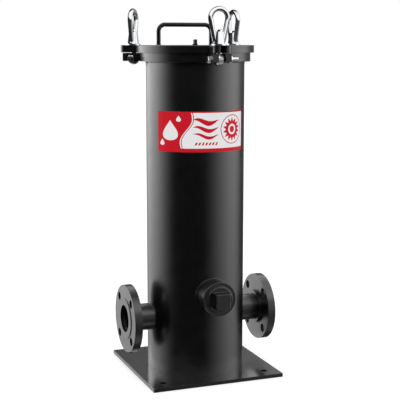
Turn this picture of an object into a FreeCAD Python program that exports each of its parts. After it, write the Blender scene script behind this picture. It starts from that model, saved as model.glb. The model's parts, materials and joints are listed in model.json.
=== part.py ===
import FreeCAD, Part
import math
import os
from types import SimpleNamespace

import Sketcher

# Vertical fuel filter housing for one replaceable cartridge.
# A length of eight inch pipe stands on a square foot plate. Two flanged two inch nozzles face each
# other near the foot, the inlet on the left and the outlet on the right. A plugged coupling faces
# the front. The lid is held by three swing bolts, each pinned between a pair of lugs, with a lifting
# eye nut on a washer. Inside, the outlet pipe turns up to the seat of the cartridge, and a tie rod
# holds the cartridge down on it.
# Frame: the middle of the underside of the foot plate, nozzles along X, coupling towards -Y, Z up.

# Driving dimensions in millimetres and degrees
SIZES = dict(
    plate_side=304.8,
    plate_thick=8.0,
    plate_hole_spacing=241.3,
    plate_hole_bore=14.3,
    shell_across=219.1,
    shell_wall=6.35,
    ring_across=244.2,
    ring_high=19.05,
    groove_wide=6.4,
    groove_deep=4.3,
    seal_clearance=0.3,
    weld_clearance=0.1,
    lid_across=260.0,
    lid_thick=15.9,
    lid_edge_break=1.0,
    spigot_clearance=1.0,
    spigot_high=5.0,
    bolt_circle=279.4,
    ear_wide=41.0,
    ear_overhang=26.2,
    ear_corner=10.0,
    ear_root_overlap=13.0,
    slot_overrun=20.0,
    slot_clearance=0.8,
    lug_thick=12.7,
    lug_high=17.5,
    lug_below_lid=1.2,
    lug_overhang=19.8,
    pivot_below_lid=13.5,
    pivot_across=9.525,
    pivot_long=63.5,
    pivot_clearance=0.2,
    pivot_head_thick=6.0,
    pivot_nut_thick=8.3,
    hex_across=14.3,
    hex_face_across=13.4,
    corner_overrun=1.0,
    eye_across=26.0,
    eye_thick=15.4,
    eye_edge_break=2.5,
    eye_clearance=0.3,
    stud_across=12.7,
    stud_above_lid=34.0,
    stud_tip=2.0,
    thread_clearance=0.2,
    washer_across=32.0,
    washer_thick=3.0,
    hub_foot_across=25.0,
    hub_top_across=19.0,
    hub_high=25.0,
    bore_overrun=5.0,
    bow_rod=10.6,
    bow_middle_across=38.2,
    bow_middle_high=53.0,
    bow_flare=12.0,
    leg_foot_high=6.5,
    handle_rod=9.5,
    handle_long=126.5,
    handle_back=64.0,
    handle_rise=45.4,
    handle_bend=15.0,
    vent_body_across=10.3,
    vent_body_long=12.0,
    vent_collar_across=12.2,
    vent_collar_high=2.6,
    vent_square=7.14,
    vent_square_high=10.0,
    plug_clearance=0.2,
    nozzle_high=127.0,
    nozzle_reach=170.1,
    pipe_across=60.3,
    pipe_wall=3.9,
    inlet_inside=12.0,
    flange_across=152.4,
    flange_thick=17.5,
    face_across=92.1,
    face_proud=1.6,
    hub_ring_across=77.8,
    hub_ring_long=6.3,
    flange_bore_clearance=0.4,
    flange_hole_circle=120.65,
    flange_hole_bore=19.05,
    pipe_recess=8.0,
    elbow_bend=76.2,
    coupling_high=190.5,
    coupling_across=76.0,
    coupling_bore=56.0,
    coupling_reach=147.0,
    coupling_inside=4.0,
    side_plug_long=28.0,
    side_plug_collar=59.0,
    side_plug_collar_thick=4.5,
    side_plug_square=33.0,
    side_plug_square_long=21.0,
    seat_across=120.0,
    seat_thick=8.0,
    seat_socket_deep=3.0,
    spider_bar_wide=10.0,
    spider_bar_overlap=1.0,
    boss_across=20.3,
    gasket_across=96.0,
    gasket_bore=62.0,
    gasket_thick=5.0,
    element_across=152.4,
    element_long=457.2,
    cap_thick=6.0,
    cap_skirt=10.0,
    cap_hole_across=14.0,
    core_across=66.0,
    core_wall=1.5,
    core_slot_wide=10.0,
    core_slot_long=60.0,
    pleat_clearance=3.0,
    pleat_band=2.6,
    wrap_wall=1.2,
    wrap_clearance=0.1,
    rod_across=12.7,
    rod_above=26.0,
    rod_headroom=8.3,
    rod_nut_across=19.0,
    rod_nut_thick=11.0,
    hold_plate_across=60.0,
    hold_plate_thick=5.0,
    rod_seal_across=48.0,
    rod_seal_thick=3.0,
)
CLOSURE_NAMES = ("front", "right", "left")
FRONT_ANGLE = 270
CLOSURE_STEP = 360 / len(CLOSURE_NAMES)
CLOSURE_ANGLES = {name: FRONT_ANGLE + CLOSURE_STEP * step for step, name in enumerate(CLOSURE_NAMES)}
EYE_ANGLES = {"front": 0.0, "right": -21.0, "left": -8.0}
PLEATS = 40
CORE_SLOT_ROWS = 5
CORE_SLOT_COLUMNS = 6


class Size:
    """A length or angle, as a number and as the expression that gives it from the sheet."""

    def __init__(self, number, text=None):
        self.number = float(number)
        self.text = text if text else f"({number})"

    def joined(self, number, sign, other):
        return Size(number, f"({self.text} {sign} {other.text})")

    def __add__(self, other):
        other = as_size(other)
        return self.joined(self.number + other.number, "+", other)

    def __sub__(self, other):
        other = as_size(other)
        return self.joined(self.number - other.number, "-", other)

    def __mul__(self, other):
        other = as_size(other)
        return self.joined(self.number * other.number, "*", other)

    def __truediv__(self, other):
        other = as_size(other)
        return self.joined(self.number / other.number, "/", other)

    def __neg__(self):
        return self * -1


def as_size(thing):
    return thing if isinstance(thing, Size) else Size(thing)


def sine(angle):
    angle = as_size(angle)
    return Size(math.sin(math.radians(angle.number)), f"sin({angle.text})")


def cosine(angle):
    angle = as_size(angle)
    return Size(math.cos(math.radians(angle.number)), f"cos({angle.text})")


# The document and its sheet of driving dimensions
doc = FreeCAD.newDocument("fuel_filter_housing")
sheet = doc.addObject("Spreadsheet::Sheet", "sizes")
for line, (alias, number) in enumerate(SIZES.items(), start=1):
    sheet.set(f"A{line}", alias.replace("_", " "))
    sheet.set(f"B{line}", str(number))
    sheet.setAlias(f"B{line}", alias)
doc.recompute()
size = SimpleNamespace(**{alias: Size(number, f"sizes.{alias}") for alias, number in SIZES.items()})
nodes = {}

# Heights and radii that several pieces share: the cartridge and what holds it down set the shell's height
plate_top = size.plate_thick
seat_bottom = size.nozzle_high + size.elbow_bend - size.seat_socket_deep
seat_top = seat_bottom + size.seat_thick
element_bottom = seat_top + size.gasket_thick
element_top = element_bottom + size.element_long
rod_nut_bottom = element_top + size.rod_seal_thick + size.hold_plate_thick
rod_top = rod_nut_bottom + size.rod_above
ring_top = rod_top + size.rod_headroom + size.spigot_high
lid_top = ring_top + size.lid_thick
shell_radius = size.shell_across / 2
shell_bore_radius = shell_radius - size.shell_wall
bolt_radius = size.bolt_circle / 2
pivot_high = ring_top - size.pivot_below_lid
lid_above_pivot = size.pivot_below_lid + size.lid_thick
lug_gap = size.eye_thick + size.eye_clearance * 2
slot_radius = size.stud_across / 2 + size.slot_clearance
ear_root = size.lid_across / 2 - size.ear_root_overlap
ear_end = bolt_radius + size.ear_overhang
pipe_radius = size.pipe_across / 2


def bind(thing, prop, amount):
    """Ties a property to the sheet."""
    thing.setExpression(prop, as_size(amount).text)


def place(thing, x=0, y=0, z=0, turn=None):
    """Turns a sub-part and ties its place to the sheet."""
    rotation = turn if turn else FreeCAD.Rotation()
    spot = [as_size(amount) for amount in (x, y, z)]
    thing.Placement = FreeCAD.Placement(FreeCAD.Vector(*[amount.number for amount in spot]), rotation)
    for axis, amount in zip("xyz", spot):
        thing.setExpression(f"Placement.Base.{axis}", amount.text)
    return thing


def place_at_closure(thing, azimuth, radius, height, spin=0.0):
    """Puts a piece whose own X axis points outwards at one of the three closures."""
    turn = FreeCAD.Rotation(FreeCAD.Vector(0, 0, 1), azimuth + spin)
    return place(thing, radius * cosine(azimuth), radius * sine(azimuth), height, turn)


def new_body(name):
    body = doc.addObject("PartDesign::Body", name)
    body.Label = name
    return body


def origin_part(body, role):
    return next(part for part in body.Origin.OriginFeatures if part.Role == role)


def new_sketch(body, name, plane="XY_Plane", offset=0):
    sketch = body.newObject("Sketcher::SketchObject", f"{body.Label}_{name}")
    sketch.AttachmentSupport = (origin_part(body, plane), [""])
    sketch.MapMode = "FlatFace"
    bind(sketch, "AttachmentOffset.Base.z", offset)
    return sketch


def fix_point(sketch, curve, end, right, up):
    """Holds one point of a sketch at a distance from the sketch's origin."""
    for kind, axis, amount in (("DistanceX", -2, as_size(right)), ("DistanceY", -1, as_size(up))):
        if amount.number == 0:
            sketch.addConstraint(Sketcher.Constraint("PointOnObject", curve, end, axis))
        else:
            index = sketch.addConstraint(Sketcher.Constraint(kind, -1, 1, curve, end, amount.number))
            sketch.setExpression(f"Constraints[{index}]", amount.text)


def vector(right, up):
    return FreeCAD.Vector(as_size(right).number, as_size(up).number, 0)


def add_outline(sketch, corners):
    """Draws a closed outline of straight edges through corners given as (right, up)."""
    first = sketch.GeometryCount
    spots = [vector(*corner) for corner in corners]
    count = len(spots)
    for index, spot in enumerate(spots):
        sketch.addGeometry(Part.LineSegment(spot, spots[(index + 1) % count]), False)
    for index, corner in enumerate(corners):
        after = first + (index + 1) % count
        sketch.addConstraint(Sketcher.Constraint("Coincident", first + index, 2, after, 1))
        fix_point(sketch, first + index, 1, *corner)
    return sketch


def fix_radius(sketch, curve, radius):
    index = sketch.addConstraint(Sketcher.Constraint("Radius", curve, radius.number))
    sketch.setExpression(f"Constraints[{index}]", radius.text)


def add_circle(sketch, radius, right=0, up=0):
    radius = as_size(radius)
    circle = Part.Circle(vector(right, up), FreeCAD.Vector(0, 0, 1), radius.number)
    curve = sketch.addGeometry(circle, False)
    fix_radius(sketch, curve, radius)
    fix_point(sketch, curve, 3, right, up)
    return sketch


def arc_between(here, there, radius):
    """The shorter arc from here to there that turns left."""
    chord = there - here
    left = FreeCAD.Vector(-chord.y, chord.x, 0).normalize()
    middle = (here + there) * 0.5 + left * math.sqrt(radius ** 2 - chord.Length ** 2 / 4)
    start, stop = (math.atan2(spot.y - middle.y, spot.x - middle.x) for spot in (here, there))
    circle = Part.Circle(middle, FreeCAD.Vector(0, 0, 1), radius)
    return Part.ArcOfCircle(circle, start, stop if stop > start else stop + 2 * math.pi)


def add_bent_outline(sketch, corners):
    """Draws a closed outline, anticlockwise through corners (right, up, radius). A radius rounds the
    edge after its corner."""
    first = sketch.GeometryCount
    spots = [vector(right, up) for right, up, radius in corners]
    for index, (right, up, radius) in enumerate(corners):
        here = spots[index]
        there = spots[(index + 1) % len(spots)]
        edge = arc_between(here, there, radius.number) if radius else Part.LineSegment(here, there)
        sketch.addGeometry(edge, False)
    for index, (right, up, radius) in enumerate(corners):
        curve = first + index
        after = first + (index + 1) % len(corners)
        sketch.addConstraint(Sketcher.Constraint("Coincident", curve, 2, after, 1))
        fix_point(sketch, curve, 1, right, up)
        if radius:
            fix_radius(sketch, curve, radius)
    return sketch


def add_tongue(sketch, radius, arc_out, flat_out):
    """Draws a tongue along -Y: a half round of the given radius and a straight end."""
    side = 1 if arc_out.number > flat_out.number else -1
    middle = vector(0, -arc_out)
    round_end = Part.Circle(middle, FreeCAD.Vector(0, 0, 1), radius.number)
    start, stop = (math.pi, 2 * math.pi) if side == 1 else (0, math.pi)
    near = radius * -side
    far = radius * side
    arc = sketch.addGeometry(Part.ArcOfCircle(round_end, start, stop), False)
    edges = [((far, -arc_out), (far, -flat_out)), ((far, -flat_out), (near, -flat_out)),
             ((near, -flat_out), (near, -arc_out))]
    for one, two in edges:
        sketch.addGeometry(Part.LineSegment(vector(*one), vector(*two)), False)
    for curve in range(arc, arc + 4):
        after = arc + (curve + 1 - arc) % 4
        sketch.addConstraint(Sketcher.Constraint("Coincident", curve, 2, after, 1))
    fix_radius(sketch, arc, radius)
    fix_point(sketch, arc, 3, 0, -arc_out)
    fix_point(sketch, arc + 2, 1, far, -flat_out)
    fix_point(sketch, arc + 2, 2, near, -flat_out)
    for end in (1, 2):
        index = sketch.addConstraint(
            Sketcher.Constraint("DistanceY", -1, 1, arc, end, -arc_out.number))
        sketch.setExpression(f"Constraints[{index}]", (-arc_out).text)
    return sketch


def hexagon(across):
    """Corners of a hexagon from its distance across flats."""
    half = across / 2
    corner = half / cosine(30)
    return [(corner, 0), (corner / 2, half), (-corner / 2, half),
            (-corner, 0), (-corner / 2, -half), (corner / 2, -half)]


def square(across):
    half = across / 2
    return [(-half, -half), (half, -half), (half, half), (-half, half)]


def pad(body, sketch, length, both_ways=False, reverse=False):
    feature = body.newObject("PartDesign::Pad", f"{sketch.Label}_pad")
    feature.Profile = sketch
    bind(feature, "Length", length)
    if both_ways:
        feature.SideType = "Symmetric"
    feature.Reversed = reverse
    return feature


def cut_through(body, sketch, both_ways=False, reverse=False):
    feature = body.newObject("PartDesign::Pocket", f"{sketch.Label}_cut")
    feature.Profile = sketch
    feature.Type = "ThroughAll"
    if both_ways:
        feature.SideType = "Symmetric"
    feature.Reversed = reverse
    return feature


def around(body, features, copies):
    """Repeats features about the body's Z axis."""
    pattern = body.newObject("PartDesign::PolarPattern", f"{body.Label}_pattern")
    pattern.Originals = features
    pattern.Axis = (origin_part(body, "Z_Axis"), [""])
    pattern.Angle = 360
    pattern.Occurrences = copies
    body.Tip = pattern
    return pattern


def turn_profile(body, corners, name="profile"):
    """Revolves an outline of (radius, height) about the body's Z axis."""
    sketch = add_outline(new_sketch(body, name, "XZ_Plane"), corners)
    feature = body.newObject("PartDesign::Revolution", f"{sketch.Label}_turn")
    feature.Profile = sketch
    feature.ReferenceAxis = (sketch, ["V_Axis"])
    feature.Angle = 360
    return feature


def turn_off_corner(body, name, start, stop, face, drop):
    """Takes the corner off an end face that lies across the body's Y axis: from radius start on the
    face to radius stop, drop further in."""
    wedge = new_sketch(body, name)
    add_outline(wedge, [(start, face), (stop, face), (stop, face + drop)])
    feature = body.newObject("PartDesign::Groove", f"{wedge.Label}_turn")
    feature.Profile = wedge
    feature.ReferenceAxis = (wedge, ["V_Axis"])
    feature.Angle = 360
    return feature


def turn_off_hexagon(body, name, face, inward):
    """Turns the corners of a hexagon's end face down at 30 degrees, as they are on a real bolt."""
    start = size.hex_face_across / 2
    stop = size.hex_across / 2 / cosine(30) + size.corner_overrun
    turn_off_corner(body, name, start, stop, face, (stop - start) * sine(30) / cosine(30) * inward)


def turned(name, corners):
    body = new_body(name)
    turn_profile(body, corners)
    return body


def tube_corners(outer, inner, low, high):
    return [(inner, low), (outer, low), (outer, high), (inner, high)]


def keep(thing):
    """Marks a placed sub-part as a node of its own."""
    nodes[thing.Label] = thing
    return thing


def group(name, pieces):
    """Gathers like pieces into one node."""
    together = doc.addObject("Part::Compound", name)
    together.Label = name
    together.Links = pieces
    return keep(together)


# Foot plate with one bolt hole near each corner
def base_plate():
    body = new_body("base_plate")
    pad(body, add_outline(new_sketch(body, "square"), square(size.plate_side)), size.plate_thick)
    holes = new_sketch(body, "holes")
    for right in (-1, 1):
        for up in (-1, 1):
            reach = size.plate_hole_spacing / 2
            add_circle(holes, size.plate_hole_bore / 2, reach * right, reach * up)
    cut_through(body, holes, reverse=True)
    return keep(body)


# Shell, with the nozzle holes through both sides and the coupling hole in front
def shell():
    body = new_body("shell")
    rings = new_sketch(body, "rings", offset=plate_top)
    add_circle(rings, shell_radius)
    add_circle(rings, shell_bore_radius)
    pad(body, rings, ring_top - plate_top)
    nozzles = new_sketch(body, "nozzles", "YZ_Plane")
    add_circle(nozzles, pipe_radius + size.weld_clearance, 0, size.nozzle_high)
    cut_through(body, nozzles, both_ways=True)
    front = new_sketch(body, "front", "XZ_Plane")
    add_circle(front, size.coupling_across / 2 + size.weld_clearance, 0, size.coupling_high)
    cut_through(body, front, reverse=True)
    return keep(body)


# Ring at the mouth of the shell, with the groove of the seal in its top face
def body_ring():
    inner = shell_radius + size.weld_clearance
    outer = size.ring_across / 2
    middle = (inner + outer) / 2
    groove_in = middle - size.groove_wide / 2
    groove_out = middle + size.groove_wide / 2
    groove_floor = ring_top - size.groove_deep
    ring_bottom = ring_top - size.ring_high
    body = turned("body_ring", [
        (inner, ring_bottom), (outer, ring_bottom), (outer, ring_top), (groove_out, ring_top),
        (groove_out, groove_floor), (groove_in, groove_floor), (groove_in, ring_top),
        (inner, ring_top)])
    keep(body)
    seal_in = groove_in + size.seal_clearance
    seal_out = groove_out - size.seal_clearance
    keep(turned("lid_seal", tube_corners(seal_out, seal_in, groove_floor, ring_top)))


# Six lugs in three pairs, each pair bored for its pivot bolt
def clevis_lugs():
    pieces = []
    root = size.ring_across / 2 - bolt_radius
    for name, azimuth in CLOSURE_ANGLES.items():
        for side in (-1, 1):
            body = new_body(f"lug_{name}_{'near' if side < 0 else 'far'}")
            inner = lug_gap / 2
            top = ring_top - size.lug_below_lid - pivot_high
            bottom = top - size.lug_high
            plate = new_sketch(body, "plate", "XZ_Plane", inner * side)
            add_outline(plate, [(root, bottom), (size.lug_overhang, bottom),
                                (size.lug_overhang, top), (root, top)])
            add_circle(plate, size.pivot_across / 2 + size.pivot_clearance)
            pad(body, plate, size.lug_thick, reverse=side < 0)
            pieces.append(place_at_closure(body, azimuth, bolt_radius, pivot_high))
    group("clevis_lugs", pieces)


# Hexagon bolts and nuts on which the swing bolts turn
def pivots():
    bolts = []
    nuts = []
    grip = lug_gap / 2 + size.lug_thick
    for name, azimuth in CLOSURE_ANGLES.items():
        bolt = new_body(f"pivot_bolt_{name}")
        head = add_outline(new_sketch(bolt, "head", "XZ_Plane", grip), hexagon(size.hex_across))
        pad(bolt, head, size.pivot_head_thick)
        turn_off_hexagon(bolt, "head_corners", -(grip + size.pivot_head_thick), 1)
        shank = add_circle(new_sketch(bolt, "shank", "XZ_Plane", grip), size.pivot_across / 2)
        pad(bolt, shank, size.pivot_long, reverse=True)
        bolts.append(place_at_closure(bolt, azimuth, bolt_radius, pivot_high))
        nut = new_body(f"pivot_nut_{name}")
        blank = new_sketch(nut, "blank", "XZ_Plane", -grip)
        add_outline(blank, hexagon(size.hex_across))
        add_circle(blank, size.pivot_across / 2 + size.thread_clearance)
        pad(nut, blank, size.pivot_nut_thick, reverse=True)
        turn_off_hexagon(nut, "corners", grip + size.pivot_nut_thick, -1)
        nuts.append(place_at_closure(nut, azimuth, bolt_radius, pivot_high))
    group("pivot_bolts", bolts)
    group("pivot_nuts", nuts)


def lid_ear(sketch):
    """Draws an ear along -Y, from inside the lid's rim to an end with rounded corners."""
    half = size.ear_wide / 2
    flat = half - size.ear_corner
    bend_out = ear_end - size.ear_corner
    return add_bent_outline(sketch, [
        (-half, -ear_root, None), (-half, -bend_out, size.ear_corner), (-flat, -ear_end, None),
        (flat, -ear_end, size.ear_corner), (half, -bend_out, None), (half, -ear_root, None)])


# Lid: a disc with a spigot in the shell, three ears, and in each ear a slot that opens outwards
def lid():
    body = new_body("lid")
    outer = size.lid_across / 2
    spigot = shell_bore_radius - size.spigot_clearance
    vent = size.vent_body_across / 2 + size.plug_clearance
    edge = size.lid_edge_break
    turn_profile(body, [
        (vent, -size.spigot_high), (spigot, -size.spigot_high), (spigot, 0), (outer, 0),
        (outer, size.lid_thick - edge), (outer - edge, size.lid_thick), (vent, size.lid_thick)])
    ear_pad = pad(body, lid_ear(new_sketch(body, "ear")), size.lid_thick)
    slot = new_sketch(body, "slot")
    add_tongue(slot, slot_radius, bolt_radius, ear_end + size.slot_overrun)
    slot_cut = cut_through(body, slot, reverse=True)
    around(body, [ear_pad, slot_cut], len(CLOSURE_ANGLES))
    return keep(place(body, 0, 0, ring_top))


# One closure: swing bolt, washer and lifting eye nut, each with its own X axis pointing outwards
def closure(name, azimuth):
    bolt = new_body(f"swing_bolt_{name}")
    eye = add_circle(new_sketch(bolt, "eye", "XZ_Plane"), size.eye_across / 2)
    pad(bolt, eye, size.eye_thick, both_ways=True)
    edge_start = size.eye_across / 2 - size.eye_edge_break
    edge_stop = size.eye_across / 2 + size.corner_overrun
    for side, word in ((-1, "near"), (1, "far")):
        turn_off_corner(bolt, f"eye_edge_{word}", edge_start, edge_stop, size.eye_thick / 2 * side,
                        (edge_stop - edge_start) * -side)
    stud_top = lid_above_pivot + size.stud_above_lid
    radius = size.stud_across / 2
    turn_profile(bolt, [(0, 0), (radius, 0), (radius, stud_top - size.stud_tip),
                        (radius - size.stud_tip, stud_top), (0, stud_top)], "stud")
    bore = add_circle(new_sketch(bolt, "bore", "XZ_Plane"),
                      size.pivot_across / 2 + size.pivot_clearance)
    cut_through(bolt, bore, both_ways=True)
    keep(place_at_closure(bolt, azimuth, bolt_radius, pivot_high))

    bore_radius = radius + size.thread_clearance
    washer = turned(f"washer_{name}", tube_corners(size.washer_across / 2, bore_radius,
                                                   0, size.washer_thick))
    keep(place_at_closure(washer, azimuth, bolt_radius, lid_top))
    nut = eye_nut(name, bore_radius)
    keep(place_at_closure(nut, azimuth, bolt_radius, lid_top + size.washer_thick, EYE_ANGLES[name]))


# Lifting eye nut: a turned hub, two flared legs with round feet and a round bow above the hub
def eye_nut(name, bore_radius):
    hub = turned(f"hub_{name}", [(0, 0), (size.hub_foot_across / 2, 0),
                                 (size.hub_top_across / 2, size.hub_high), (0, size.hub_high)])
    rod = size.bow_rod / 2
    bow_radius = size.bow_middle_across / 2
    bow = doc.addObject("Part::Torus", f"bow_{name}")
    bind(bow, "Radius1", bow_radius)
    bind(bow, "Radius2", rod)
    bind(bow, "Angle3", size.bow_flare * 2 + 180)
    upright = FreeCAD.Rotation(FreeCAD.Vector(1, 1, 1), 120)
    start = FreeCAD.Rotation(FreeCAD.Vector(0, 0, 1), -size.bow_flare.number)
    place(bow, 0, 0, size.bow_middle_high, upright.multiply(start))
    pieces = [hub, bow]
    end_out = bow_radius * cosine(size.bow_flare)
    end_high = size.bow_middle_high - bow_radius * sine(size.bow_flare)
    leg_long = (end_high - size.leg_foot_high) / cosine(size.bow_flare)
    for side, word in ((-1, "near"), (1, "far")):
        foot_out = (end_out - leg_long * sine(size.bow_flare)) * side
        leg = doc.addObject("Part::Cylinder", f"leg_{name}_{word}")
        bind(leg, "Radius", rod)
        bind(leg, "Height", leg_long)
        lean = FreeCAD.Rotation(FreeCAD.Vector(1, 0, 0), -side * size.bow_flare.number)
        pieces.append(place(leg, 0, foot_out, size.leg_foot_high, lean))
        foot = doc.addObject("Part::Sphere", f"foot_{name}_{word}")
        bind(foot, "Radius", rod)
        pieces.append(place(foot, 0, foot_out, size.leg_foot_high, lean))
    blank = doc.addObject("Part::MultiFuse", f"eye_blank_{name}")
    blank.Shapes = pieces
    bore = doc.addObject("Part::Cylinder", f"eye_bore_{name}")
    bind(bore, "Radius", bore_radius)
    bind(bore, "Height", size.hub_high + size.bore_overrun * 2)
    place(bore, 0, 0, -size.bore_overrun)
    nut = doc.addObject("Part::Cut", f"eye_nut_{name}")
    nut.Label = f"eye_nut_{name}"
    nut.Base = blank
    nut.Tool = bore
    return nut


# Bent rod handle, both feet on the lid
def handle():
    body = new_body("handle")
    half = size.handle_long / 2
    bend = size.handle_bend
    rise = size.handle_rise
    path = new_sketch(body, "path", "XZ_Plane")
    stops = [(-half, 0), (-half, rise - bend), (bend - half, rise),
             (half - bend, rise), (half, rise - bend), (half, 0)]
    middles = {1: (bend - half, rise - bend, 90), 3: (half - bend, rise - bend, 0)}
    for index in range(5):
        start, stop = stops[index], stops[index + 1]
        if index in middles:
            right, up, angle = middles[index]
            circle = Part.Circle(vector(right, up), FreeCAD.Vector(0, 0, 1), bend.number)
            curve = Part.ArcOfCircle(circle, math.radians(angle), math.radians(angle + 90))
        else:
            curve = Part.LineSegment(vector(*start), vector(*stop))
        path.addGeometry(curve, False)
    arc_ends = {1: (2, 1), 3: (2, 1)}
    for index in range(4):
        leave = arc_ends.get(index, (1, 2))[1]
        enter = arc_ends.get(index + 1, (1, 2))[0]
        path.addConstraint(Sketcher.Constraint("Coincident", index, leave, index + 1, enter))
    for index in (0, 2, 4):
        fix_point(path, index, 1, *stops[index])
        fix_point(path, index, 2, *stops[index + 1])
    for index in middles:
        fix_radius(path, index, bend)
    rod = add_circle(new_sketch(body, "rod"), size.handle_rod / 2, -half, 0)
    pipe = body.newObject("PartDesign::AdditivePipe", "handle_pipe")
    pipe.Profile = rod
    pipe.Spine = path
    return keep(place(body, 0, size.handle_back, lid_top))


# Small square headed plug in the middle of the lid
def vent_plug():
    body = new_body("vent_plug")
    turn_profile(body, [
        (0, -size.vent_body_long), (size.vent_body_across / 2, -size.vent_body_long),
        (size.vent_body_across / 2, 0), (size.vent_collar_across / 2, 0),
        (size.vent_collar_across / 2, size.vent_collar_high), (0, size.vent_collar_high)])
    head = new_sketch(body, "head", offset=size.vent_collar_high)
    pad(body, add_outline(head, square(size.vent_square)), size.vent_square_high)
    return keep(place(body, 0, 0, lid_top))


TO_RIGHT = FreeCAD.Rotation(FreeCAD.Vector(0, 1, 0), 90)
TO_LEFT = FreeCAD.Rotation(FreeCAD.Vector(0, 1, 0), -90)
TO_FRONT = FreeCAD.Rotation(FreeCAD.Vector(1, 0, 0), 90)
UPSIDE_DOWN = FreeCAD.Rotation(FreeCAD.Vector(1, 0, 0), 180)


# Slip-on flange with a raised face and a short hub, drawn with its face towards its own +Z
def flange(name, side, turn):
    bore = pipe_radius + size.flange_bore_clearance
    back = -(size.face_proud + size.flange_thick)
    hub_end = back - size.hub_ring_long
    body = turned(name, [
        (bore, hub_end), (size.hub_ring_across / 2, hub_end), (size.hub_ring_across / 2, back),
        (size.flange_across / 2, back), (size.flange_across / 2, -size.face_proud),
        (size.face_across / 2, -size.face_proud), (size.face_across / 2, 0), (bore, 0)])
    hole = new_sketch(body, "hole", offset=back)
    reach = size.flange_hole_circle / 2 * cosine(45)
    add_circle(hole, size.flange_hole_bore / 2, reach, reach)
    around(body, [cut_through(body, hole, reverse=True)], 4)
    return keep(place(body, size.nozzle_reach * side, 0, size.nozzle_high, turn))


def nozzle_pipe(name, inner_end, side, turn):
    long = size.nozzle_reach - size.pipe_recess - inner_end
    body = turned(name, tube_corners(pipe_radius, pipe_radius - size.pipe_wall, 0, long))
    return keep(place(body, inner_end * side, 0, size.nozzle_high, turn))


# Elbow that turns the outlet pipe up to the seat
def outlet_elbow():
    body = new_body("outlet_elbow")
    bend = size.elbow_bend
    path = new_sketch(body, "path", "XZ_Plane")
    circle = Part.Circle(vector(bend, bend), FreeCAD.Vector(0, 0, 1), bend.number)
    path.addGeometry(Part.ArcOfCircle(circle, math.pi, 1.5 * math.pi), False)
    fix_radius(path, 0, bend)
    fix_point(path, 0, 3, bend, bend)
    for kind, end in (("DistanceY", 1), ("DistanceX", 2)):
        index = path.addConstraint(Sketcher.Constraint(kind, -1, 1, 0, end, bend.number))
        path.setExpression(f"Constraints[{index}]", bend.text)
    ring = new_sketch(body, "ring", offset=bend)
    add_circle(ring, pipe_radius)
    add_circle(ring, pipe_radius - size.pipe_wall)
    pipe = body.newObject("PartDesign::AdditivePipe", "outlet_elbow_pipe")
    pipe.Profile = ring
    pipe.Spine = path
    return keep(place(body, 0, 0, size.nozzle_high))


# Threaded coupling through the front of the shell, and its square headed plug
def front_port():
    inside = shell_bore_radius - size.coupling_inside
    bore = size.coupling_bore / 2
    long = size.coupling_reach - inside
    coupling = turned("front_coupling", tube_corners(size.coupling_across / 2, bore, 0, long))
    keep(place(coupling, 0, -inside, size.coupling_high, TO_FRONT))
    plug = new_body("front_plug")
    body_radius = bore - size.plug_clearance
    collar = size.side_plug_collar / 2
    turn_profile(plug, [
        (0, -size.side_plug_long), (body_radius, -size.side_plug_long), (body_radius, 0),
        (collar, 0), (collar, size.side_plug_collar_thick), (0, size.side_plug_collar_thick)])
    head = new_sketch(plug, "head", offset=size.side_plug_collar_thick)
    pad(plug, add_outline(head, square(size.side_plug_square)), size.side_plug_square_long)
    keep(place(plug, 0, -size.coupling_reach, size.coupling_high, TO_FRONT))


# Seat on the elbow, with a bar across its bore that holds the tie rod
def element_seat():
    body = new_body("element_seat")
    bore = pipe_radius - size.pipe_wall
    socket = pipe_radius + size.weld_clearance
    step = size.seat_socket_deep
    turn_profile(body, [(socket, 0), (size.seat_across / 2, 0), (size.seat_across / 2, size.seat_thick),
                        (bore, size.seat_thick), (bore, step), (socket, step)])
    bar = new_sketch(body, "bar", offset=step)
    half = size.spider_bar_wide / 2
    reach = bore + size.spider_bar_overlap
    add_outline(bar, [(-reach, -half), (reach, -half), (reach, half), (-reach, half)])
    pad(body, bar, size.seat_thick - step)
    boss = add_circle(new_sketch(body, "boss", offset=step), size.boss_across / 2)
    pad(body, boss, size.seat_thick - step)
    bore_sketch = new_sketch(body, "rod_hole")
    add_circle(bore_sketch, size.rod_across / 2 + size.thread_clearance)
    cut_through(body, bore_sketch, reverse=True)
    return keep(place(body, 0, 0, seat_bottom))


# End cap of the cartridge: a plate with a skirt, drawn with the plate at its own foot
def end_cap(name, bore, height, turn=None):
    outer = size.element_across / 2
    inner = outer - size.wrap_wall
    body = turned(name, [(bore, 0), (outer, 0), (outer, size.cap_skirt), (inner, size.cap_skirt),
                         (inner, size.cap_thick), (bore, size.cap_thick)])
    return keep(place(body, 0, 0, height, turn))


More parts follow.
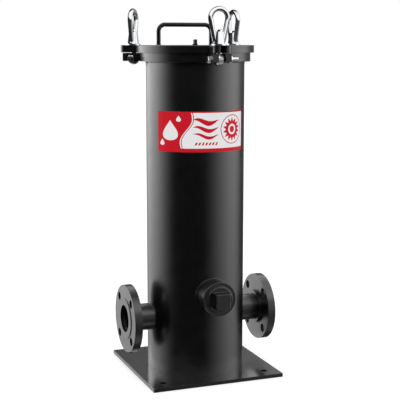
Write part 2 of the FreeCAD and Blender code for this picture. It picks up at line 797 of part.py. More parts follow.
def cartridge():
    keep(place(turned("lower_gasket", tube_corners(size.gasket_across / 2, size.gasket_bore / 2,
                                                   0, size.gasket_thick)), 0, 0, seat_top))
    end_cap("lower_end_cap", size.gasket_bore / 2, element_bottom)
    end_cap("upper_end_cap", size.cap_hole_across / 2, element_top, UPSIDE_DOWN)
    low = element_bottom + size.cap_thick
    long = size.element_long - size.cap_thick * 2

    core = new_body("centre_tube")
    rings = new_sketch(core, "rings")
    add_circle(rings, size.core_across / 2)
    add_circle(rings, size.core_across / 2 - size.core_wall)
    pad(core, rings, long)
    slots = new_sketch(core, "slots", "YZ_Plane")
    half = size.core_slot_wide / 2
    for row in range(CORE_SLOT_ROWS):
        middle = long * ((row + 0.5) / CORE_SLOT_ROWS)
        below = middle - size.core_slot_long / 2
        above = middle + size.core_slot_long / 2
        add_outline(slots, [(-half, below), (half, below), (half, above), (-half, above)])
    around(core, [cut_through(core, slots, reverse=True)], CORE_SLOT_COLUMNS)
    keep(place(core, 0, 0, low))

    wrap_out = size.element_across / 2 - size.wrap_wall - size.wrap_clearance
    wrap = turned("outer_wrap", tube_corners(wrap_out, wrap_out - size.wrap_wall, 0, long))
    keep(place(wrap, 0, 0, low))
    pleats(wrap_out.number - size.wrap_wall.number - size.pleat_clearance.number / 2,
           size.core_across.number / 2 + size.pleat_clearance.number, low, long)


# Pleated medium: a folded band between the centre tube and the outer wrap
def pleats(outer, inner, low, long):
    def star(shrink):
        spots = []
        for index in range(PLEATS * 2):
            angle = math.pi * index / PLEATS
            radius = (outer if index % 2 else inner) - shrink
            spots.append(FreeCAD.Vector(radius * math.cos(angle), radius * math.sin(angle), 0))
        return Part.makePolygon(spots + spots[:1])

    band = Part.makeFace([star(0), star(size.pleat_band.number)], "Part::FaceMakerBullseye")
    feature = doc.addObject("Part::Feature", "pleated_medium")
    feature.Label = "pleated_medium"
    feature.Shape = band.extrude(FreeCAD.Vector(0, 0, long.number))
    keep(place(feature, 0, 0, low))


# Tie rod from the seat through the cartridge, with seal, plate and nut on top
def tie_rod():
    rod = doc.addObject("Part::Cylinder", "tie_rod")
    rod.Label = "tie_rod"
    rod_low = seat_bottom + size.seat_socket_deep
    seal_bottom = element_top
    plate_bottom = seal_bottom + size.rod_seal_thick
    bind(rod, "Radius", size.rod_across / 2)
    bind(rod, "Height", rod_top - rod_low)
    keep(place(rod, 0, 0, rod_low))
    bore = size.rod_across / 2 + size.thread_clearance
    seal = turned("rod_seal", tube_corners(size.rod_seal_across / 2, bore, 0, size.rod_seal_thick))
    keep(place(seal, 0, 0, seal_bottom))
    plate = turned("hold_down_plate", tube_corners(size.hold_plate_across / 2, bore,
                                                   0, size.hold_plate_thick))
    keep(place(plate, 0, 0, plate_bottom))
    nut = new_body("tie_rod_nut")
    blank = add_outline(new_sketch(nut, "blank"), hexagon(size.rod_nut_across))
    add_circle(blank, bore)
    pad(nut, blank, size.rod_nut_thick)
    keep(place(nut, 0, 0, rod_nut_bottom))


base_plate()
shell()
body_ring()
clevis_lugs()
pivots()
lid()
for closure_name, closure_azimuth in CLOSURE_ANGLES.items():
    closure(closure_name, closure_azimuth)
handle()
vent_plug()
flange("inlet_flange", -1, TO_LEFT)
flange("outlet_flange", 1, TO_RIGHT)
nozzle_pipe("inlet_pipe", shell_bore_radius - size.inlet_inside, -1, TO_LEFT)
nozzle_pipe("outlet_pipe", size.elbow_bend, 1, TO_RIGHT)
outlet_elbow()
front_port()
element_seat()
cartridge()
tie_rod()
doc.recompute()

# Every object must be sound before anything is written
for thing in doc.Objects:
    if {"Invalid", "Error"} & set(thing.State):
        raise RuntimeError(f"{thing.Label} failed: {thing.State}")
for name, thing in nodes.items():
    if thing.Shape.isNull() or not thing.Shape.isValid() or not thing.Shape.Solids:
        raise RuntimeError(f"{name} has no valid shape")
os.makedirs("parts", exist_ok=True)
for name, thing in nodes.items():
    thing.Shape.exportStep(f"parts/{name}.step")
    print(name, len(thing.Shape.Solids), round(thing.Shape.Volume))
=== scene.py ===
# %% [markdown]
# # A fuel filter housing in Blender
# The rigid parts of this housing were drawn in a CAD program and packed as a fixed frame. This
# notebook loads that frame, places the camera, lights a studio, gives every part its paint or
# plating, and adds what a CAD drawing leaves out: weld beads, rims, rolled threads and a printed
# label. Everything is in metres. Z points up along the shell, X points out of the outlet nozzle.

import json
import math

import bmesh
import bpy
from mathutils import Matrix, Vector


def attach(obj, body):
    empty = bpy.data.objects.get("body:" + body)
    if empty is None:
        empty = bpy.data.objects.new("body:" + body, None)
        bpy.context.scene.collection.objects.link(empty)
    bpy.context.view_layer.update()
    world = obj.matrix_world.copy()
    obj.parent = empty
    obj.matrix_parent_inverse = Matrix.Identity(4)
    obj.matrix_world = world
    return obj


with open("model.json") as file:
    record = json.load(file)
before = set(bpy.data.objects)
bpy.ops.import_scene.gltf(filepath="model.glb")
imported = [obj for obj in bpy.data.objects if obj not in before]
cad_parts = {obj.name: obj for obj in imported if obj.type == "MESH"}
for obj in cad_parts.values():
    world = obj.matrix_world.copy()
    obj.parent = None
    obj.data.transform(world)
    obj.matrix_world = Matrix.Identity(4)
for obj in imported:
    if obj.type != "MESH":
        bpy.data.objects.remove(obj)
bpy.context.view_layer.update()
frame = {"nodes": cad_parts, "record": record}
nodes = frame["nodes"]
MM = 0.001

# %% [markdown]
# ## The camera
# The photograph was taken from the front left, a little above the top third of the shell, with a
# long lens. A long lens keeps the verticals nearly parallel, so the distance and the focal length
# have to be found together: the size of the near corner of the foot plate against the far one
# gives the distance. A small shift moves the picture in its frame without turning the camera.
# The turn and the dip are in radians.

# %% Place the camera
CAMERA_TURN = 0.3653
CAMERA_DIP = 0.1685
CAMERA_DISTANCE = 2.3295
LOOK_AT = Vector((0.0, 0.0, 0.35))
camera_data = bpy.data.cameras.new("camera")
camera_data.sensor_width = 36.0
camera_data.lens = 92.28
camera_data.shift_x = 0.0122
camera_data.shift_y = 0.0408
camera = bpy.data.objects.new("camera", camera_data)
bpy.context.scene.collection.objects.link(camera)
camera.rotation_euler = (math.pi / 2 - CAMERA_DIP, 0.0, -CAMERA_TURN)
facing = camera.rotation_euler.to_matrix() @ Vector((0.0, 0.0, -1.0))
camera.location = LOOK_AT - facing * CAMERA_DISTANCE
bpy.context.scene.camera = camera
print("camera at", [round(value, 3) for value in camera.location])

# %% [markdown]
# ## Helpers for node trees
# The sky, the finishes and the Geometry Nodes are all node trees. In the editor they are wired by
# hand, which can't be repeated, so here a few small helpers build them: one adds a node, one fills
# in its sockets, one joins sockets, one does a sum, one makes a ramp and one picks a shader.

# %% Write the helpers
def add_node(tree, kind, **settings):
    node = tree.nodes.new(kind)
    for name, value in settings.items():
        setattr(node, name, value)
    return node


def fill(node, **values):
    for name, value in values.items():
        node.inputs[name.replace("_", " ")].default_value = value
    return node


def join(tree, *links):
    for source, target in links:
        tree.links.new(source, target)


def math_node(tree, operation, first, second=None):
    """Does a sum on sockets or numbers and returns the socket with its result."""
    node = add_node(tree, "ShaderNodeMath", operation=operation)
    for index, value in enumerate((first, second)):
        if value is None:
            continue
        if isinstance(value, bpy.types.NodeSocket):
            join(tree, (value, node.inputs[index]))
        else:
            node.inputs[index].default_value = value
    return node.outputs[0]


def ramp(tree, share, stops, blend="LINEAR"):
    """Grey levels or colours at stops along a share from 0 to 1."""
    node = add_node(tree, "ShaderNodeValToRGB")
    node.color_ramp.interpolation = blend
    points = node.color_ramp.elements
    while len(points) < len(stops):
        points.new(1.0)
    for point, (place, level) in zip(points, stops):
        point.position = place
        point.color = (level, level, level, 1.0) if isinstance(level, float) else (*level, 1.0)
    join(tree, (share, node.inputs[0]))
    return node.outputs["Color"]


def pick(tree, test, otherwise, chosen):
    """Shows one shader where the test is 1 and the other one where it is 0."""
    node = add_node(tree, "ShaderNodeMixShader")
    join(tree, (test, node.inputs[0]), (otherwise, node.inputs[1]), (chosen, node.inputs[2]))
    return node.outputs[0]


print("helpers ready")

# %% [markdown]
# ## The studio light
# Black enamel is almost only reflection: what shows on it is the room around it. Lamps would show
# as hard shapes in the gloss, so the room is a sky made of nodes. Each direction in it is given by
# how far it is turned from the camera's side, and by how high it points.

# %% Find directions in the sky
world = bpy.data.worlds.new("studio")
bpy.context.scene.world = world
world.use_nodes = True
sky = world.node_tree
sky.nodes.clear()
camera_side = math.atan2(camera.location.y, camera.location.x)
direction = add_node(sky, "ShaderNodeSeparateXYZ")
join(sky, (add_node(sky, "ShaderNodeTexCoord").outputs["Generated"], direction.inputs[0]))
turned = math_node(sky, "ARCTAN2", direction.outputs["Y"], direction.outputs["X"])
from_front = math_node(sky, "DIVIDE", math_node(sky, "SUBTRACT", turned, camera_side), math.tau)
around = math_node(sky, "FRACT", math_node(sky, "ADD", from_front, 1.5))
height = math_node(sky, "ADD", math_node(sky, "MULTIPLY", direction.outputs["Z"], 0.5), 0.5)
print("camera's side of the sky at", round(math.degrees(camera_side), 1), "degrees")

# %% [markdown]
# A wide soft box stands on each side, with a dark gap in front and behind, so the shell gets a
# bright band near each edge and a dark core. Round the object, a stop is an angle in degrees from
# the camera's side with a strength, and the boxes' edges are eased. Upwards, 0 is straight down,
# 0.5 the horizon and 1 straight up. A narrow bright band 18 degrees above the horizon shines on the
# foot plate, and a weak light hangs overhead.

# %% Set up the soft boxes
BRIGHTEST = 4.0
SOFT_BOXES = [(-180, 0.09), (-172, 0.07), (-135, 3.4), (-113, 3.4), (-50, 0.01), (20, 0.01),
              (98, 2.45), (103, 2.45), (138, 0.15), (167, 0.36), (180, 0.09)]
UP_THE_BOXES = [(0.0, 0.15), (0.36, 0.36), (0.43, 0.53), (0.5, 1.0), (0.57, 1.0), (0.61, 0.65),
                (0.638, 0.7), (0.648, 1.8), (0.668, 1.8), (0.678, 0.5), (0.7, 0.25), (0.8, 0.12)]
OVERHEAD = [(0.7, 0.0), (0.78, 0.4), (0.86, 0.4), (0.95, 0.25)]


def levels_around(table, strongest=1.0, blend="LINEAR"):
    stops = [((angle + 180) / 360, level / strongest) for angle, level in table]
    return ramp(sky, around, stops, blend)


boxes = levels_around(SOFT_BOXES, BRIGHTEST, "EASE")
from_the_side = math_node(sky, "MULTIPLY", boxes, ramp(sky, height, UP_THE_BOXES))
from_all = math_node(sky, "ADD", from_the_side, ramp(sky, height, OVERHEAD))
soft_light = math_node(sky, "MULTIPLY", from_all, BRIGHTEST)
print("brightest box", max(level for angle, level in SOFT_BOXES))

# %% [markdown]
# Polished chrome is a perfect mirror, and boxes as bright as that would only burn it out. It sees
# a simpler room: pale above and dark on the ground, with a dark wall that rises at the left and
# behind, so that the eye nuts stand out from the white background.

# %% Paint the room that the chrome mirrors
ABOVE = [(-180, 0.03), (-130, 0.05), (-100, 0.9), (0, 1.2), (110, 1.2), (140, 0.4), (180, 0.03)]
GROUND = [(-180, 0.03), (-30, 0.02), (50, 0.04), (90, 0.3), (120, 0.5), (150, 0.25), (180, 0.03)]
WALL = [(-180, 0.45), (-120, 0.3), (-60, 0.15), (-8, 0.1), (8, 0.0), (120, 0.0), (150, 0.2),
        (180, 0.45)]
HORIZON = [(0.49, 0.0), (0.52, 1.0)]
above, ground, wall = [levels_around(table) for table in (ABOVE, GROUND, WALL)]
over_the_wall = ramp(sky, math_node(sky, "SUBTRACT", height, wall), HORIZON)
gain = math_node(sky, "MULTIPLY", over_the_wall, math_node(sky, "SUBTRACT", above, ground))
mirrored_light = math_node(sky, "ADD", ground, gain)
print("chrome sees up to", max(level for angle, level in ABOVE))

# %% [markdown]
# The rays are told apart by what they left. The camera sees plain white, as in the photograph, and
# plain white also lights the colours at a level at which they render as written. Gloss sees the
# soft boxes. The rays that leave a perfect mirror are sharp, and see the chrome's own room.

# %% Show each kind of ray its own sky
def background(strength):
    """A white background whose strength is a number or a socket."""
    node = fill(add_node(sky, "ShaderNodeBackground"), Color=(1.0, 1.0, 1.0, 1.0))
    if isinstance(strength, float):
        node.inputs["Strength"].default_value = strength
    else:
        join(sky, (strength, node.inputs["Strength"]))
    return node.outputs[0]


plain = background(1.0)
rays = add_node(sky, "ShaderNodeLightPath").outputs
glossy = pick(sky, rays["Is Glossy Ray"], plain, background(soft_light))
sharp = pick(sky, rays["Is Singular Ray"], glossy, background(mirrored_light))
seen = pick(sky, rays["Is Camera Ray"], sharp, plain)
join(sky, (seen, add_node(sky, "ShaderNodeOutputWorld").inputs["Surface"]))
print("sky with", len(sky.nodes), "nodes")

# %% [markdown]
# ## The floor
# A product photograph stands on a white sweep that nobody notices. A curved sweep isn't needed
# where the sky is as white as the floor, so one flat face does, wide enough to have no edge in
# the picture. It lies half a millimetre under the foot plate, so that the two don't flicker.

# %% Lay the floor
FLOOR_SIDE = 60.0
FLOOR_HIGH = -0.5 * MM
half = FLOOR_SIDE / 2
corners = [(-half, -half), (half, -half), (half, half), (-half, half)]
mesh = bpy.data.meshes.new("floor")
mesh.from_pydata([(right, back, FLOOR_HIGH) for right, back in corners], [], [(0, 1, 2, 3)])
floor = bpy.data.objects.new("floor", mesh)
bpy.context.scene.collection.objects.link(floor)
print("floor", floor.dimensions.x, "m wide")

# %% [markdown]
# The floor is white to the camera and keeps the soft shadow of the foot plate. Gloss looks through
# it at the lower half of the sky: otherwise the lower half of the shell would mirror a white
# field, and its dark core, which the photograph shows down to the foot plate, would be lost.

# %% Colour the floor
sweep = bpy.data.materials.new("white sweep")
sweep.use_nodes = True
tree = sweep.node_tree
tree.nodes.clear()
matt = fill(add_node(tree, "ShaderNodeBsdfDiffuse"), Color=(0.7, 0.7, 0.7, 1.0))
glow = fill(add_node(tree, "ShaderNodeEmission"), Strength=0.5)
lit = add_node(tree, "ShaderNodeAddShader")
join(tree, (matt.outputs[0], lit.inputs[0]), (glow.outputs[0], lit.inputs[1]))
clear = add_node(tree, "ShaderNodeBsdfTransparent")
rays = add_node(tree, "ShaderNodeLightPath").outputs
under_gloss = pick(tree, rays["Is Glossy Ray"], lit.outputs[0], clear.outputs[0])
join(tree, (under_gloss, add_node(tree, "ShaderNodeOutputMaterial").inputs["Surface"]))
floor.data.materials.append(sweep)
print("floor is", sweep.name)

# %% [markdown]
# ## Paints and platings
# Each finish is one procedural material. All of them read Object coordinates, and since every
# part's object sits at the origin, a pattern has the same scale in millimetres on all of them.
# A finish has a colour, a roughness that wanders a little, and a fine bump: the orange peel of
# sprayed enamel, the grain of a casting, the drawing lines of plated steel.

# %% A helper for finishes
BLOTCHES = 35.0
BUMP_DEEP = 0.4 * MM


def make_finish(name, colour, rough, metallic=0.0, grain=900.0, bump=0.05, stretch=(1, 1, 1),
                edge=0.0, wander=0.05, tint=0.1, **sockets):
    material = bpy.data.materials.new(name)
    material.use_nodes = True
    tree = material.node_tree
    shader = fill(tree.nodes["Principled BSDF"], Metallic=metallic, Roughness=rough, **sockets)
    place = add_node(tree, "ShaderNodeTexCoord")
    stretcher = fill(add_node(tree, "ShaderNodeMapping"), Scale=stretch)
    broad = fill(add_node(tree, "ShaderNodeTexNoise"), Scale=BLOTCHES, Detail=3.0)
    fine = fill(add_node(tree, "ShaderNodeTexNoise"), Scale=grain, Detail=2.0)
    join(tree, (place.outputs["Object"], stretcher.inputs["Vector"]),
         (stretcher.outputs[0], broad.inputs["Vector"]),
         (stretcher.outputs[0], fine.inputs["Vector"]))
    if wander:
        roughness = ramp(tree, broad.outputs["Fac"], [(0.3, rough - wander), (0.7, rough + wander)])
        join(tree, (roughness, shader.inputs["Roughness"]))
    low = tuple(channel * (1 - tint) for channel in colour)
    high = tuple(min(channel * (1 + tint), 1.0) for channel in colour)
    hue = ramp(tree, broad.outputs["Fac"], [(0.35, low), (0.65, high)])
    relief = fill(add_node(tree, "ShaderNodeBump"), Strength=bump, Distance=BUMP_DEEP)
    if edge:
        soft = fill(add_node(tree, "ShaderNodeBevel", samples=4), Radius=edge)
        join(tree, (soft.outputs[0], relief.inputs["Normal"]))
    join(tree, (hue, shader.inputs["Base Color"]), (fine.outputs["Fac"], relief.inputs["Height"]),
         (relief.outputs[0], shader.inputs["Normal"]))
    return material


print("finishes ready to mix")

# %% [markdown]
# The housing is sprayed with black semi-gloss enamel. The colour is nearly nothing, so the sheen
# does all the work, and the handle and the vent plug, which are hard to reach with the gun, have
# less of it. A small rounding of the normals at sharp edges stands for the paint that draws back
# into a soft radius there. The coupling and its plug are bare black iron.

# %% Mix the blacks
ENAMEL_BLACK = (0.0009, 0.0009, 0.001)
black_enamel = make_finish("black enamel", ENAMEL_BLACK, 0.31, grain=700.0, edge=0.5 * MM,
                           wander=0.03, Specular_IOR_Level=1.0)
dull_enamel = make_finish("black enamel on the lid's fittings", ENAMEL_BLACK, 0.35, grain=700.0,
                          wander=0.03, Specular_IOR_Level=0.4)
foot_enamel = make_finish("black enamel on the foot plate", ENAMEL_BLACK, 0.2, grain=700.0,
                          bump=0.03, edge=0.5 * MM, wander=0.02, Coat_Weight=1.0, Coat_IOR=4.0,
                          Coat_Roughness=0.17, Specular_IOR_Level=1.0)
black_iron = make_finish("black malleable iron", (0.004, 0.004, 0.0045), 0.2, grain=450.0,
                         bump=0.04, edge=3.0 * MM, tint=0.3, Specular_IOR_Level=1.0)
print("four blacks mixed")

# %% [markdown]
# The foot plate lies flat while it is sprayed, so its top takes a second, smoother coat that flows
# out like glass. The cut edges stay as thin as the walls. The coat follows the surface's own
# upward direction.

# %% Keep the second coat on top of the plate
tree = foot_enamel.node_tree
upright = add_node(tree, "ShaderNodeSeparateXYZ")
join(tree, (add_node(tree, "ShaderNodeNewGeometry").outputs["Normal"], upright.inputs[0]))
on_top = ramp(tree, upright.outputs["Z"], [(0.6, 0.0), (0.9, 1.0)])
join(tree, (on_top, tree.nodes["Principled BSDF"].inputs["Coat Weight"]))
print("second coat on top only")

# %% [markdown]
# The eye nuts are polished and chromed, with no roughness at all. Bolts and washers are zinc
# plated, which is duller and shows the lines of drawn steel. The cartridge inside has tinned caps
# and a tinned core, folded paper and a cloth sock, and the seals are rubber.

# %% Mix the platings and the soft materials
chrome = make_finish("bright chrome", (0.8, 0.81, 0.83), 0.0, metallic=1.0, grain=120.0, bump=0.02,
                     wander=0.0, tint=0.02)
zinc = make_finish("bright zinc plate", (0.74, 0.75, 0.76), 0.2, metallic=1.0, grain=300.0,
                   bump=0.06, stretch=(1, 1, 8), tint=0.08)
tinned_sheet = make_finish("tinned sheet", (0.6, 0.6, 0.58), 0.3, metallic=1.0, grain=200.0,
                           stretch=(1, 1, 6))
seal_rubber = make_finish("nitrile rubber", (0.012, 0.012, 0.012), 0.6, grain=1200.0, bump=0.15)
pleat_paper = make_finish("resin treated paper", (0.72, 0.6, 0.38), 0.85, grain=1500.0, bump=0.3,
                          tint=0.08)
sock_cloth = make_finish("spun sock", (0.8, 0.8, 0.77), 0.9, grain=2200.0, bump=0.5, tint=0.04)
print("six more finishes mixed")

# %% [markdown]
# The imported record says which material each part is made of. That chooses its finish, so no part
# is forgotten. Three parts are painted in a way of their own.

# %% Give every part its finish
FINISH_OF_SLOT = {
    "black_paint": black_enamel, "black_iron": black_iron, "chrome": chrome, "zinc_plate": zinc,
    "rubber": seal_rubber, "tinned_steel": tinned_sheet, "filter_paper": pleat_paper,
    "filter_sock": sock_cloth}
OWN_FINISH = {"base_plate": foot_enamel, "handle": dull_enamel, "vent_plug": dull_enamel}
for part in frame["record"]["subparts"]:
    finish = OWN_FINISH.get(part["node"], FINISH_OF_SLOT[part["material_slot"]])
    for slot in nodes[part["node"]].material_slots:
        slot.material = finish

# %% [markdown]
# ## Weld beads
# The nozzles, the coupling and the ring are welded to the shell, and the handle to the lid. A weld
# follows the line where two parts meet. It could be cut from a bent torus, but a path with a small
# round profile swept along it fits every joint. One Geometry Nodes tree serves them all: it starts
# from a circle, lifts each point onto the shell's curve, and lets the bead swell and shrink a
# little as the welder's hand did.

# %% Helpers for Geometry Nodes trees
def new_geometry_tree(name, inputs):
    tree = bpy.data.node_groups.new(name, "GeometryNodeTree")
    tree.interface.new_socket("Geometry", in_out="INPUT", socket_type="NodeSocketGeometry")
    tree.interface.new_socket("Geometry", in_out="OUTPUT", socket_type="NodeSocketGeometry")
    for title, kind in inputs:
        tree.interface.new_socket(title, in_out="INPUT", socket_type="NodeSocket" + kind)
    return tree, add_node(tree, "NodeGroupInput").outputs


def end_geometry_tree(tree, geometry, material):
    real = add_node(tree, "GeometryNodeRealizeInstances")
    paint = add_node(tree, "GeometryNodeSetMaterial")
    end = add_node(tree, "NodeGroupOutput")
    join(tree, (geometry, real.inputs[0]), (real.outputs[0], paint.inputs["Geometry"]),
         (material, paint.inputs["Material"]), (paint.outputs[0], end.inputs[0]))


def grow(name, tree, mesh=None, **inputs):
    """Runs a tree on a mesh and returns its result as a plain object."""
    piece = bpy.data.objects.new(name, mesh or bpy.data.meshes.new(name))
    bpy.context.scene.collection.objects.link(piece)
    modifier = piece.modifiers.new("tree", "NODES")
    modifier.node_group = tree
    for item in tree.interface.items_tree:
        key = item.name.replace(" ", "_")
        if item.in_out == "INPUT" and key in inputs:
            modifier[item.identifier] = inputs[key]
    graph = bpy.context.evaluated_depsgraph_get()
    result = bpy.data.meshes.new_from_object(piece.evaluated_get(graph))
    piece.modifiers.clear()
    piece.data = result
    return piece


print("Geometry Nodes helpers ready")

# %% [markdown]
# Seen along a nozzle, the line where it meets the shell is a circle. How far out each point lies
# follows from the shell's roundness: the square root of its radius squared, less the point's way
# across squared. With a shell radius of 0 the circle stays flat.

# %% Build the weld tree
PATH_POINTS = 180
BEAD_POINTS = 12
weld, given = new_geometry_tree("weld bead", [
    ("Path Radius", "Float"), ("Shell Radius", "Float"), ("Bead Radius", "Float"),
    ("Ripples", "Float"), ("Swell", "Float"), ("Material", "Material")])
path = fill(add_node(weld, "GeometryNodeCurvePrimitiveCircle"), Resolution=PATH_POINTS)
spot = add_node(weld, "GeometryNodeInputPosition")
axes = add_node(weld, "ShaderNodeSeparateXYZ")
across = math_node(weld, "MULTIPLY", axes.outputs["X"], axes.outputs["X"])
whole = math_node(weld, "MULTIPLY", given["Shell Radius"], given["Shell Radius"])
left_over = math_node(weld, "MAXIMUM", math_node(weld, "SUBTRACT", whole, across), 0.0)
lift = add_node(weld, "ShaderNodeCombineXYZ")
bend = add_node(weld, "GeometryNodeSetPosition")
along = add_node(weld, "GeometryNodeSplineParameter")
phase = math_node(weld, "MULTIPLY", along.outputs["Factor"], given["Ripples"])
ripple = math_node(weld, "SINE", math_node(weld, "MULTIPLY", phase, math.tau))
width = math_node(weld, "ADD", math_node(weld, "MULTIPLY", ripple, given["Swell"]), 1.0)
profile = fill(add_node(weld, "GeometryNodeCurvePrimitiveCircle"), Resolution=BEAD_POINTS)
swept = add_node(weld, "GeometryNodeCurveToMesh")
smooth = add_node(weld, "GeometryNodeSetShadeSmooth")
join(weld, (given["Path Radius"], path.inputs["Radius"]), (spot.outputs[0], axes.inputs[0]),
     (math_node(weld, "SQRT", left_over), lift.inputs["Z"]),
     (path.outputs["Curve"], bend.inputs["Geometry"]), (lift.outputs[0], bend.inputs["Offset"]),
     (given["Bead Radius"], profile.inputs["Radius"]), (bend.outputs[0], swept.inputs["Curve"]),
     (profile.outputs["Curve"], swept.inputs["Profile Curve"]), (width, swept.inputs["Scale"]),
     (swept.outputs[0], smooth.inputs["Geometry"]))
end_geometry_tree(weld, smooth.outputs[0], given["Material"])
print("weld tree with", len(weld.nodes), "nodes")

# %% [markdown]
# A bead has to sit exactly on the parts that it joins. Their sizes could be typed in again, but
# after a change in the CAD the beads would hang in the air. So they are read from the box round
# each part.

# %% Measure the parts that are welded
def box_of(name):
    """Lowest and highest corner of a CAD part, as it stands at rest."""
    corners = [Vector(corner) for corner in nodes[name].bound_box]
    return corners[0], corners[6]


def middle_of(name):
    low, high = box_of(name)
    return (low + high) / 2


SHELL_RADIUS = box_of("shell")[1].x
RING_LOW = box_of("body_ring")[0].z
LID_TOP = box_of("lid")[1].z
PIPE_RADIUS = box_of("inlet_pipe")[1].y
NOZZLE_HIGH = middle_of("inlet_flange").z
COUPLING_RADIUS = box_of("front_coupling")[1].x
COUPLING_HIGH = middle_of("front_coupling").z
for title, radius in (("shell", SHELL_RADIUS), ("pipe", PIPE_RADIUS), ("coupling", COUPLING_RADIUS)):
    print(title, "radius", round(radius / MM, 2), "mm")

# %% [markdown]
# The beads differ in size with the wall that they join. Each is made round the Z axis and then
# turned to face its nozzle, and its place goes into its mesh, so that the object stays at the
# origin.

# %% Lay the beads
NOZZLE_BEAD = 1.5 * MM
COUPLING_BEAD = 1.1 * MM
RING_BEAD = 2.0 * MM
HANDLE_BEAD = 1.6 * MM
HANDLE_ROD = 4.75 * MM
to_right = Matrix.Rotation(math.pi / 2, 4, "Y") @ Matrix.Rotation(math.pi / 2, 4, "Z")
to_left = Matrix.Rotation(math.pi, 4, "Z") @ to_right
to_front = Matrix.Rotation(math.pi / 2, 4, "X")


def lifted(height, turn=Matrix.Identity(4)):
    return Matrix.Translation((0.0, 0.0, height)) @ turn


def lay_bead(name, place, path_radius, shell_radius, bead, ripples=90.0, swell=0.06):
    piece = grow(name, weld, Path_Radius=path_radius, Shell_Radius=shell_radius, Bead_Radius=bead,
                 Ripples=ripples, Swell=swell, Material=black_enamel)
    piece.data.transform(place)
    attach(piece, "housing")


lay_bead("weld_inlet", lifted(NOZZLE_HIGH, to_left), PIPE_RADIUS, SHELL_RADIUS, NOZZLE_BEAD)
lay_bead("weld_outlet", lifted(NOZZLE_HIGH, to_right), PIPE_RADIUS, SHELL_RADIUS, NOZZLE_BEAD)
lay_bead("weld_coupling", lifted(COUPLING_HIGH, to_front), COUPLING_RADIUS, SHELL_RADIUS,
         COUPLING_BEAD, ripples=110.0)
lay_bead("weld_ring", lifted(RING_LOW), SHELL_RADIUS, 0.0, RING_BEAD, ripples=300.0, swell=0.03)
handle_right = box_of("handle")[1].x - HANDLE_ROD
for name, right in (("weld_handle_left", -handle_right), ("weld_handle_right", handle_right)):
    foot = Matrix.Translation((right, middle_of("handle").y, LID_TOP))
    lay_bead(name, foot, HANDLE_ROD, 0.0, HANDLE_BEAD, ripples=14.0, swell=0.08)
print("handle's feet", round(2 * handle_right / MM, 1), "mm apart")

# %% [markdown]
# The coupling is turned from bar, and its mouth and the plug's collar have a small rounded rim each.
# Just outside the collar, a thin black rubber ring is painted shade: it darkens the gap between the
# collar and the coupling. The edges could be rounded in the CAD, but trim as thin as this is laid on
# more easily as a mesh. Each piece is a plain ring from the same tree, without ripples. Its row
# gives a radius, then how far outside the coupling's mouth it lies and how thick it is, both in
# millimetres.

# %% Round the rims of the coupling and its plug
COUPLING_MOUTH = -box_of("front_coupling")[0].y
PLUG_RADIUS = box_of("front_plug")[1].x
COUPLING_RIM = COUPLING_RADIUS - 0.9 * MM
COLLAR_RIM = PLUG_RADIUS - 2.7 * MM
# The black rubber ring just outside the collar is painted shade, for the dark gap between the collar
# and the coupling's mouth.
SHADE_RING_LINE = PLUG_RADIUS + 0.4 * MM
RIMS = (("coupling_rim", "housing", COUPLING_RIM, -0.1, 1.2, "black_iron", black_iron),
        ("plug_rim", "front_plug", COLLAR_RIM, 4.5, 1.1, "black_iron", black_iron),
        ("plug_sealant", "front_plug", SHADE_RING_LINE, 0.5, 1.0, "rubber", seal_rubber))
for name, body, radius, outside, thick, slot, finish in RIMS:
    rim = grow(name, weld, Path_Radius=radius, Shell_Radius=0.0, Bead_Radius=thick * MM,
               Ripples=0.0, Swell=0.0, Material=finish)
    out = Matrix.Translation((0.0, -COUPLING_MOUTH - outside * MM, COUPLING_HIGH))
    rim.data.transform(out @ to_front)
    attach(rim, body)
print(len(RIMS), "rims on the coupling and its plug")

# %% [markdown]
# ## Threads
# The studs and the pivot bolts have rolled threads. In the CAD they are plain, because a cut helix
# makes heavy solids and nothing is tested against it. Here each thread is a low ridge wound round
# the plain rod: a spiral path with a small triangle swept along it. The pitch is the real one for
# the size, half inch 13 and three eighths 16, and the ridge stays inside the nut's clearance.

# %% Build the thread tree
TURN_POINTS = 32
thread, given = new_geometry_tree("thread", [
    ("Rod Radius", "Float"), ("Pitch", "Float"), ("Turns", "Float"), ("Ridge", "Float"),
    ("Material", "Material")])
spiral = fill(add_node(thread, "GeometryNodeCurveSpiral"), Resolution=TURN_POINTS)
tooth = fill(add_node(thread, "GeometryNodeCurvePrimitiveCircle"), Resolution=3)
rolled = fill(add_node(thread, "GeometryNodeCurveToMesh"), Fill_Caps=True)
climb = math_node(thread, "MULTIPLY", given["Pitch"], given["Turns"])
join(thread, (given["Turns"], spiral.inputs["Rotations"]), (climb, spiral.inputs["Height"]),
     (given["Rod Radius"], spiral.inputs["Start Radius"]),
     (given["Rod Radius"], spiral.inputs["End Radius"]), (given["Ridge"], tooth.inputs["Radius"]),
     (spiral.outputs[0], rolled.inputs["Curve"]),
     (tooth.outputs["Curve"], rolled.inputs["Profile Curve"]))
end_geometry_tree(thread, rolled.outputs[0], given["Material"])
print("thread tree with", len(thread.nodes), "nodes")

# %% [markdown]
# A stud stands above its pivot, right under its washer, and its thread rides with the swing bolt.
# The pivot bolt lies across it, and only the end that sticks out of its nut shows a thread. Both
# start at a distance from the point where the two rods cross.

# %% Wind the threads
INCH = 25.4 * MM
PIVOT_HIGH = middle_of("pivot_bolts").z
STUD_RADIUS = INCH / 4
STUD_PITCH = INCH / 13
STUD_THREAD_FROM = 15.0 * MM
STUD_THREAD_LONG = 46.0 * MM
PIVOT_RADIUS = INCH * 3 / 16
PIVOT_PITCH = INCH / 16
PIVOT_THREAD_FROM = 29.2 * MM
PIVOT_THREAD_LONG = 12.0 * MM
RIDGE = 0.22 * MM
RIDGE_SUNK = 0.1 * MM


def wind(name, body, place, rod, pitch, long):
    piece = grow(name, thread, Rod_Radius=rod - RIDGE_SUNK, Pitch=pitch, Turns=long / pitch,
                 Ridge=RIDGE, Material=zinc)
    piece.data.transform(place)
    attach(piece, body)


